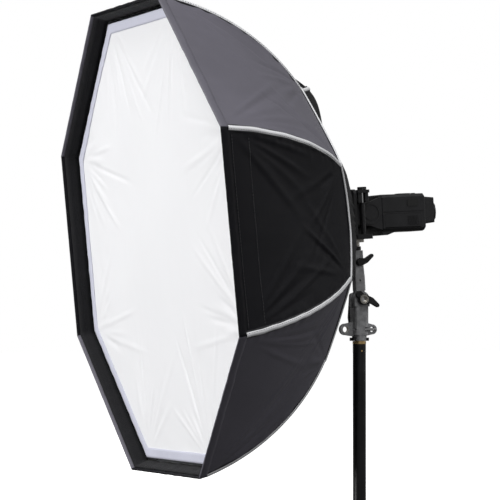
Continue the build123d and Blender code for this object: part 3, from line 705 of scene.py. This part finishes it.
def rib_line(k, side, lift):
    """A line beside rib k, on the outside of the cover, and the way out from the cloth along it."""
    lengths = np.linspace(0.010, COVER_LENGTH - 0.004, 160)
    points = along_rib(k, lengths, [(side, lift)])[:, 0]
    angle = HALF + k * 2 * HALF
    phi = phi_at(lengths)
    out = np.stack([np.cos(phi) * math.cos(angle), np.cos(phi) * math.sin(angle), np.sin(phi)], axis=-1)
    return points, out


def gore_line(j, start, end, lift=0.0):
    """A line on gore j between two (t, length) places, following its creases."""
    share = np.linspace(0, 1, 160)
    t = start[0] + (end[0] - start[0]) * share
    phi = phi_at(start[1] + (end[1] - start[1]) * share)
    points = cover_point(j * 2 * HALF, t, phi, gore_lift(j, t, phi) + lift)
    mid = j * 2 * HALF
    out = np.stack([np.cos(phi) * math.cos(mid), np.cos(phi) * math.sin(mid), np.sin(phi)], axis=-1)
    return points, out


def stitches():
    """Rows of stitches along both edges of each rib's binding, and across the black gores by their hem."""
    pieces = []
    for k in range(SIDES):
        for side in (-0.0030, 0.0030):
            line = rib_line(k, side, 0.0022)
            pieces.append(stitch_row(f"row_{k}", *line, 0.0048, 0.0032, 0.00032))
    ribs = joined("binding_stitches", pieces)
    pieces = []
    for j in range(0, SIDES, 2):
        for length in (0.0165, 0.048):
            line = gore_line(j, (-0.94, length), (0.94, length), 0.0002)
            pieces.append(stitch_row(f"row_{j}", *line, 0.0050, 0.0034, 0.00034))
    hems = joined("hem_stitches", pieces)
    for piece, slot in ((ribs, "white_cloth"), (hems, "black_cloth")):
        follow_ribs(piece)


stitches()


def round_gores(phi_of, lift_of, t_points):
    """Points of a closed line that runs across all the gores, in softbox coordinates."""
    t = np.linspace(-1, 1, t_points)[:-1]
    parts = []
    for j in range(SIDES):
        mid = j * 2 * HALF
        place = j * 2 + 1 + t
        parts.append(cover_point(mid, t, phi_of(j, t, place), lift_of(j, t, place)))
    return np.concatenate(parts)


def ring_band(name, lines, uv_width):
    """A closed band from several lines round the cover, each an array of points."""
    rows = np.stack([np.concatenate([line, line[:1]]) for line in lines], axis=1)
    around = rows.shape[0]
    length = float(np.linalg.norm(np.diff(rows[:, 0], axis=0), axis=1).sum())
    uv = strip_uv(around, rows.shape[1], length, uv_width)
    piece = grid_object(name, to_world(rows), uv, wrap=True)
    weld(piece)
    return piece, length


def rear_seam():
    """The seam behind the gores: a dark binding and the same pale piping."""
    for name, half_width, height, base, surface, slot in (
        ("rear_seam_binding", 0.0060, 0.0011, 0.0002, HEM_CLOTH, "black_cloth"),
        ("rear_seam_piping", PIPING_HALF, 0.0019, 0.0012, PIPING, "white_cloth"),
    ):
        lines = []
        for side, lift in bead(half_width, height, 12, base):
            lines.append(
                round_gores(
                    lambda j, t, place, s=side: phi_at(seam_length(t) + s + 0.0012 * ripple(place, 0.9, 3)),
                    lambda j, t, place, h=lift: h + top_slack(j, t, seam_length(t)),
                    40,
                )
            )
        piece, length = ring_band(name, lines, 2 * half_width)
        declare_strip(piece, surface)


rear_seam()


def rim_hem():
    """The hem folded over the front edge: 12 mm outside, round the edge and 9 mm inside."""
    outside, inside = 0.0013, -0.0021
    path = [(HEM, 0.0004), (HEM, outside), (HEM * 0.6, outside + 0.0004), (HEM * 0.25, outside)]
    turn = (outside - inside) / 2
    middle = (outside + inside) / 2
    path += [(-turn * math.sin(a), middle + turn * math.cos(a)) for a in np.linspace(0.2, math.pi - 0.2, 7)]
    path += [(0.004, inside), (0.009, inside), (0.009, -0.0009)]
    lines = []
    for length, lift in path:
        lines.append(
            round_gores(
                lambda j, t, place, s=length: phi_at(s + 0.0007 * ripple(place, 0.35, 5) * (s > 0.002)),
                lambda j, t, place, h=lift: h + 0.0004 * ripple(place, 0.22, 6) * (1 - np.abs(t)) ** 0.3,
                56,
            )
        )
    piece, length = ring_band("rim_hem", lines, 0.026)
    paint(piece, BLACK_CLOTH, GREY_CLOTH)
    for face in piece.data.polygons:
        place = to_soft(np.array(face.center)[None, :])[0]
        sector = round(math.atan2(place[1], place[0]) / (2 * HALF))
        face.material_index = sector % 2
    follow_ribs(piece)


rim_hem()


def lip():
    """The black loop tape inside the rim that holds the diffuser, slack between the corners."""
    depth = LIP_DEPTH + 0.003
    lines = []
    for length, lift in (
        (0.004, -0.0023), (0.012, -0.0026), (0.020, -0.0034), (depth, -0.0042),
        (depth, -0.0062), (0.020, -0.0054), (0.012, -0.0046), (0.004, -0.0043),
    ):
        lines.append(
            round_gores(
                lambda j, t, place, s=length: phi_at(s + 0.0012 * ripple(place, 0.5, 8) * (s > 0.025)),
                lambda j, t, place, h=lift: h + 0.0006 * ripple(place, 0.3, 9) * (1 - np.abs(t)) ** 0.3,
                56,
            )
        )
    piece, length = ring_band("lip_tape", lines, 0.060)
    paint(piece, LIP_LOOPS)
    follow_ribs(piece)
    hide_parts("front_lip")


lip()


# ------------------------------------------------------------------ the diffuser
DIFFUSER_INSET = 0.0195  # from the rim's corners to the diffuser's
DIFFUSER_HALF = (RIM_RADIUS - DIFFUSER_INSET) * math.cos(HALF)
BORDER = 0.0165
DIFFUSER_DEPTH = -LIP_DEPTH - 0.0006


def diffuser_relief(x, y):
    """Creases of the diffuser: fans from its eight corners, and the slow swell of a slack sheet."""
    radius = np.hypot(x, y)
    corner_radius = DIFFUSER_HALF / math.cos(HALF)
    middle = np.max([x * math.cos(2 * HALF * j) + y * math.sin(2 * HALF * j) for j in range(SIDES)], axis=0)
    edge = smooth((DIFFUSER_HALF - middle) / 0.022)
    total = np.zeros_like(x)
    for k in range(SIDES):
        angle = HALF + k * 2 * HALF
        corner = (corner_radius * math.cos(angle), corner_radius * math.sin(angle))
        total += fan(x, y, corner, (0, 0), 0.68, 12, (0.09, 0.30), 0.0013, 0.0055, 900 + k)
    total += 0.0013 * undulation(x, y, 0.24, 31)
    total += 0.00035 * undulation(x, y, 0.06, 32) * smooth(radius / 0.35)
    return total * edge


def octagon_grid(rows, columns, inner, outer):
    """Points of an octagon's eight sectors between two distances from its middle, sector by sector."""
    r = np.linspace(inner, outer, rows)[:, None]
    t = np.linspace(-1, 1, columns)[None, :]
    for j in range(SIDES):
        mid = j * 2 * HALF
        side = t * r * math.tan(HALF)
        yield r * math.cos(mid) - side * math.sin(mid), r * math.sin(mid) + side * math.cos(mid)


def diffuser_share(radius):
    """How far the front cloth follows the ribs as they fold: wholly at the rim, not at all in the middle."""
    return smooth((radius - 0.06) / (DIFFUSER_HALF - 0.06))


def diffuser():
    """The white front cloth, and the wider-woven border sewn round it."""
    parts = []
    for n, (x, y) in enumerate(octagon_grid(88, 60, 0.0, DIFFUSER_HALF)):
        w = DIFFUSER_DEPTH + diffuser_relief(x, y)
        parts.append(grid_object(f"sector_{n}", to_world(np.stack([x, y, w], -1)), np.stack([x, y], -1)))
    piece = joined("diffuser_cloth", parts)
    weld(piece, 2e-5)
    paint(piece, WHITE_CLOTH)
    follow_ribs(piece, diffuser_share)
    solidify(piece, 0.0005)
    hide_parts("diffuser")

    parts = []
    for n, (x, y) in enumerate(octagon_grid(6, 60, DIFFUSER_HALF - BORDER, DIFFUSER_HALF)):
        place = np.arctan2(y, x) * 8
        w = DIFFUSER_DEPTH + diffuser_relief(x, y) + 0.0009 + 0.0003 * ripple(place, 0.5, 12)
        parts.append(grid_object(f"border_{n}", to_world(np.stack([x, y, w], -1)), np.stack([x, y], -1)))
    piece = joined("diffuser_border", parts)
    weld(piece, 2e-5)
    paint(piece, BORDER_CLOTH)
    follow_ribs(piece, diffuser_share)
    solidify(piece, 0.0007)


diffuser()


# ------------------------------------------------------------------ the rear cap
def rear_cap():
    """Black cloth from the rear seam to the speed ring, gathered a little on its elastic."""
    rows, columns = 44, 64
    parts = []
    for j in range(SIDES):
        t = np.linspace(-1, 1, columns)[None, :]
        reach = np.linspace(0, 1, rows)[:, None]
        start = phi_at(seam_length(t))
        phi = start + (BOW_END - start) * reach
        place = (j * 2 + 1 + t) / 16
        gathers = sum(
            np.sin(place * math.tau * count + turn) for count, turn in ((72, 0.3), (104, 1.1), (56, 2.0))
        )
        bulge = 0.004 * (1 - t * t) * np.sin(math.pi * reach)
        lift = bulge + 0.0011 * gathers * smooth(reach / 0.9) * smooth((1 - np.abs(t)) / 0.12)
        lift += top_slack(j, t, strip_length(phi))
        points = to_world(cover_point(j * 2 * HALF, t + 0 * phi, phi, lift - 0.0004))
        half_width = (BOW_X + BOW_R * np.cos(phi)) * math.sin(HALF)
        uv = np.stack([t * half_width, strip_length(phi) + 0 * t], axis=-1)
        parts.append(grid_object(f"cap_{j}", points, uv, flip=True))
    piece = joined("rear_cap_cloth", parts)
    weld(piece)
    paint(piece, CAP_CLOTH, SILVER_LINING)
    follow_ribs(piece)
    shell = solidify(piece, CLOTH_THICKNESS)
    shell.material_offset = 1
    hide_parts("rear_cap")


rear_cap()


def cap_elastic():
    """The elastic that draws the cap in round the ring."""
    lines = []
    for side, lift in bead(0.0045, 0.0022, 12, 0.0008):
        lines.append(
            round_gores(
                lambda j, t, place, s=side: phi_at(strip_length(BOW_END) + s),
                lambda j, t, place, h=lift: h + 0.0005 * np.sin(place * math.pi * 22),
                60,
            )
        )
    piece, length = ring_band("cap_elastic", lines, 0.020)
    declare_strip(piece, HEM_CLOTH)


cap_elastic()


# ------------------------------------------------------------------ materials of the CAD nodes
STAND_BLACK = moulded("stand_black", (0.010, 0.010, 0.011), 0.30, grain=0.00002, scale=900.0)
BRASS = metal("brass", (0.95, 0.66, 0.30), 0.30, brushed=(1, 1, 14), metallic=0.85)
BLACK_PLASTIC = moulded("black_plastic", (0.012, 0.012, 0.013), 0.40)
CAST_GREY = cast("cast_grey", (0.36, 0.362, 0.37))
NICKEL = metal("nickel", (0.72, 0.69, 0.63), 0.24, brushed=(1, 12, 1))
CHROME = metal("chrome", (0.88, 0.88, 0.89), 0.09)
CLAMP_BLACK = moulded("clamp_black", (0.008, 0.008, 0.009), 0.38, grain=0.00008, scale=700.0)
RUBBER = moulded("rubber", (0.010, 0.010, 0.010), 0.75, grain=0.0001, scale=500.0)
RIB_STEEL = metal("rib_steel", (0.30, 0.30, 0.31), 0.35, brushed=(1, 9, 1))
FLASH_PLASTIC = moulded("flash_plastic", (0.013, 0.013, 0.0145), 0.42, grain=0.00009, scale=1300.0)
BUTTON_RUBBER = moulded("button_rubber", (0.035, 0.035, 0.038), 0.55)


def lens_plastic():
    """Clear plastic moulded with fine ribs."""
    made = Surface("clear_lens", (0.86, 0.88, 0.9), 0.12, ior=1.49, transmission_weight=0.55)
    ribs = made.wave(WAVES / 0.0016, "Z")
    made.colour(made.ramp(ribs, 0.0, 1.0, (0.70, 0.73, 0.76), (0.95, 0.96, 0.98)))
    made.relief(ribs, 0.0005, 1.0)
    return made


def dark_window(name, colour):
    """Glossy dark plastic over a recess, with painted shade of the recess in darker and lighter patches."""
    made = Surface(name, colour, 0.12, coat_weight=0.6, coat_roughness=0.05)
    # painted shade: the colour goes darker and lighter in patches, standing for the recess under the window
    depth = made.noise(30.0, 2.0)
    made.colour(made.ramp(depth, 0.3, 0.7, shade(colour, 0.7), shade(colour, 1.3)))
    made.roughness(made.noise(260.0, 3.0), 0.08, 0.2)
    return made


LENS = lens_plastic()
SCREEN = dark_window("screen", (0.020, 0.024, 0.023))
RED_WINDOW = dark_window("red_window", (0.050, 0.0025, 0.004))

FINISH = {
    STAND_BLACK: ["stand_tube"],
    BRASS: ["stand_spigot", "tube_rivet"],
    BLACK_PLASTIC: [
        "tube_plug", "socket_guard", "stand_lock_knob", "tilt_lever", "arm_lever",
        "jaw_knob_near", "jaw_knob_far",
    ],
    CAST_GREY: ["socket_body", "tilt_arm"],
    NICKEL: ["lug_eyelet", "tilt_lever_nut", "clamp_stud", "flash_foot"],
    CHROME: ["socket_pin", "tilt_bolt", "jaw_screw_near", "jaw_screw_far", "rib_pins"],
    CLAMP_BLACK: ["stud_nut", "clamp_frame", "clamp_jaw", "speed_ring"],
    RUBBER: ["base_pad", "jaw_pad", "port_cover"],
    RIB_STEEL: [f"rib_{k + 1}" for k in range(SIDES)],
    FLASH_PLASTIC: ["flash_head", "flash_yoke", "flash_body", "battery_door", "control_dial", "foot_wheel"],
    BUTTON_RUBBER: ["set_button", "mode_button", "zoom_button", "light_button", "test_button"],
    LENS: ["flash_lens"],
    SCREEN: ["flash_screen"],
    RED_WINDOW: ["front_window"],
}
for _surface, _names in FINISH.items():
    for _name in _names:
        paint(NODES[_name], _surface)


# ------------------------------------------------------------------ stage, light and camera
def camera_only(tree, seen, unseen):
    """Mixes two shaders: seen for what the camera looks at, unseen for light that bounces."""
    path = tree.nodes.new("ShaderNodeLightPath")
    mix = tree.nodes.new("ShaderNodeMixShader")
    tree.links.new(path.outputs["Is Camera Ray"], mix.inputs["Fac"])
    tree.links.new(unseen.outputs[0], mix.inputs[1])
    tree.links.new(seen.outputs[0], mix.inputs[2])
    return mix.outputs[0]


def stage():
    """A wide pale floor."""
    bpy.ops.mesh.primitive_plane_add(size=60, location=(0, 0, 0))
    floor = bpy.context.object
    floor.name = "floor"
    pale = bpy.data.materials.new("floor")
    pale.use_nodes = True
    tree = pale.node_tree
    seen = tree.nodes["Principled BSDF"]
    seen.inputs["Base Color"].default_value = (0.9, 0.9, 0.9, 1)
    seen.inputs["Roughness"].default_value = 0.9
    seen.inputs["Emission Color"].default_value = (1, 1, 1, 1)
    seen.inputs["Emission Strength"].default_value = 0.95
    unseen = tree.nodes.new("ShaderNodeBsdfDiffuse")
    unseen.inputs["Color"].default_value = (0.11, 0.11, 0.11, 1)
    tree.links.new(camera_only(tree, seen, unseen), tree.nodes["Material Output"].inputs["Surface"])
    floor.data.materials.append(pale)


def area_light(name, place, aim, size, power):
    """A rectangular soft light at a place, aimed at a point."""
    data = bpy.data.lights.new(name, "AREA")
    data.shape = "RECTANGLE"
    data.size, data.size_y = size
    data.energy = power
    lamp = bpy.data.objects.new(name, data)
    lamp.location = place
    lamp.rotation_mode = "QUATERNION"
    lamp.rotation_quaternion = (Vector(aim) - Vector(place)).to_track_quat("-Z", "Y")
    bpy.context.scene.collection.objects.link(lamp)


def lights():
    """Soft light from above and from in front, with weak fills beside and behind; a white sky."""
    middle = (0.0, -0.15, 0.45)
    area_light("top_key", (1.3, -0.9, 3.4), middle, (2.4, 2.4), 74)
    area_light("front_soft", (-0.6, -4.0, 1.0), middle, (2.6, 2.2), 127)
    area_light("near_fill", (3.4, -0.2, 1.9), middle, (1.4, 1.6), 10)
    area_light("rear_fill", (1.2, 3.2, 1.8), middle, (1.6, 1.6), 22)
    world = bpy.data.worlds.new("studio")
    bpy.context.scene.world = world
    world.use_nodes = True
    tree = world.node_tree
    seen = tree.nodes["Background"]
    seen.inputs["Color"].default_value = (1, 1, 1, 1)
    unseen = tree.nodes.new("ShaderNodeBackground")
    unseen.inputs["Color"].default_value = (1, 1, 1, 1)
    unseen.inputs["Strength"].default_value = 0.22
    tree.links.new(camera_only(tree, seen, unseen), tree.nodes["World Output"].inputs["Surface"])
    bpy.context.scene.view_settings.view_transform = "Standard"


CAMERA_AZIMUTH = math.radians(70.156)
CAMERA_ELEVATION = math.radians(-1.842)
CAMERA_DISTANCE = 4.5696
VIEW_AZIMUTH = math.radians(67.992)
VIEW_ELEVATION = math.radians(-1.629)


def towards_camera(azimuth, elevation):
    """The direction from the softbox at an azimuth and an elevation."""
    return Vector(
        (
            math.sin(azimuth) * math.cos(elevation),
            -math.cos(azimuth) * math.cos(elevation),
            math.sin(elevation),
        )
    )


def camera():
    """A long lens level with the softbox."""
    data = bpy.data.cameras.new("camera")
    data.lens = 201.7
    data.sensor_width = 36
    data.clip_end = 200
    eye = bpy.data.objects.new("camera", data)
    eye.location = SOFT.translation + CAMERA_DISTANCE * towards_camera(CAMERA_AZIMUTH, CAMERA_ELEVATION)
    eye.rotation_mode = "QUATERNION"
    eye.rotation_quaternion = (-towards_camera(VIEW_AZIMUTH, VIEW_ELEVATION)).to_track_quat("-Z", "Y")
    bpy.context.scene.collection.objects.link(eye)
    bpy.context.scene.camera = eye


stage()
lights()
camera()
